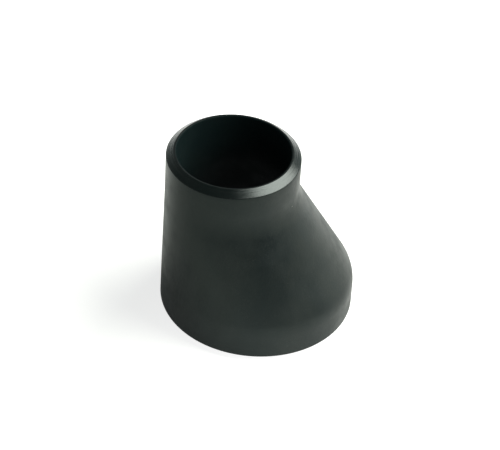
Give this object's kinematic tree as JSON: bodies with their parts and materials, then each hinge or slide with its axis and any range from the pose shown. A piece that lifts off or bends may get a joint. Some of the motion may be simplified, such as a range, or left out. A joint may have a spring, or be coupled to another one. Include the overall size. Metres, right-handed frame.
{
  "type": "eccentric reducer",
  "caption": "Eccentric butt-weld pipe reducer, seamless black-painted steel, flat on one side, with a weld bevel at both ends.",
  "frame": {"origin": "centre of the large end's face", "axes": "+Z along the pipe run, from the large end to the small end; +X towards the sloping side; the flat side is at -X"},
  "size_m": [0.0888, 0.0888, 0.089],
  "materials": {
    "black_paint": "satin"
  },
  "bodies": {
    "root": {"reducer_body": "black_paint"}
  },
  "joints": []
}
